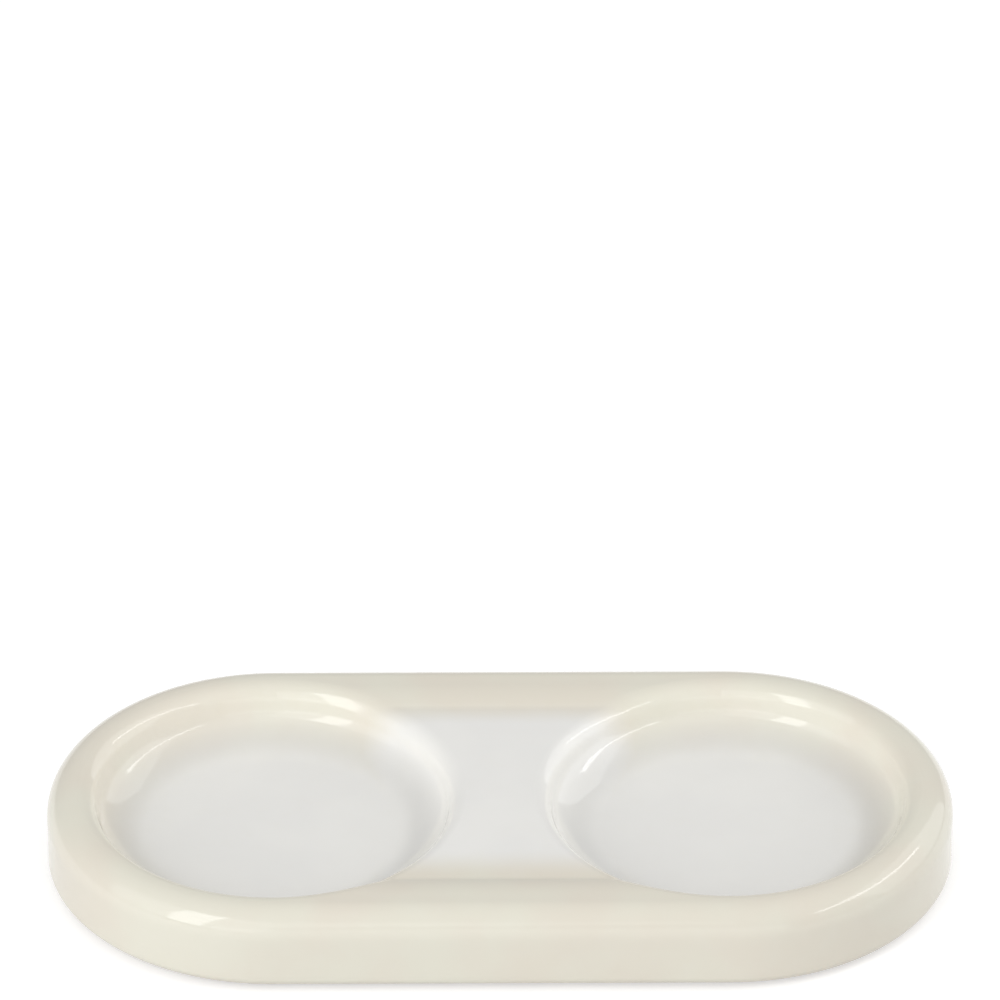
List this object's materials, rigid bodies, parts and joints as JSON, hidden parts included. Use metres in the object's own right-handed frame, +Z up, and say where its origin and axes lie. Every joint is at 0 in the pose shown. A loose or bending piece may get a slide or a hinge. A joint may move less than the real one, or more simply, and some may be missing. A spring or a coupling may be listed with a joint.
{
  "type": "mill tray",
  "caption": "Oblong glazed stoneware tray with a soft rounded rim, and round wells joined by a lower bridge, which hold table mills by their bases.",
  "frame": {"origin": "on the table top, under the middle of the tray", "axes": "+X along the tray's length to the right, +Y from its front to its back, +Z up"},
  "size_m": [0.19, 0.095, 0.0185],
  "materials": {
    "stoneware": "bare fired clay, fine and slightly rough",
    "cream_glaze": "glossy cream glaze",
    "liner_glaze": "glossy off-white liner glaze",
    "silicone": "translucent matt silicone"
  },
  "bodies": {
    "root": {"stoneware_body": "stoneware", "rim_glaze": "cream_glaze", "liner_glaze": "liner_glaze", "base_glaze": "cream_glaze", "bumper_front_left": "silicone", "bumper_front_right": "silicone", "bumper_back_left": "silicone", "bumper_back_right": "silicone"}
  },
  "joints": []
}
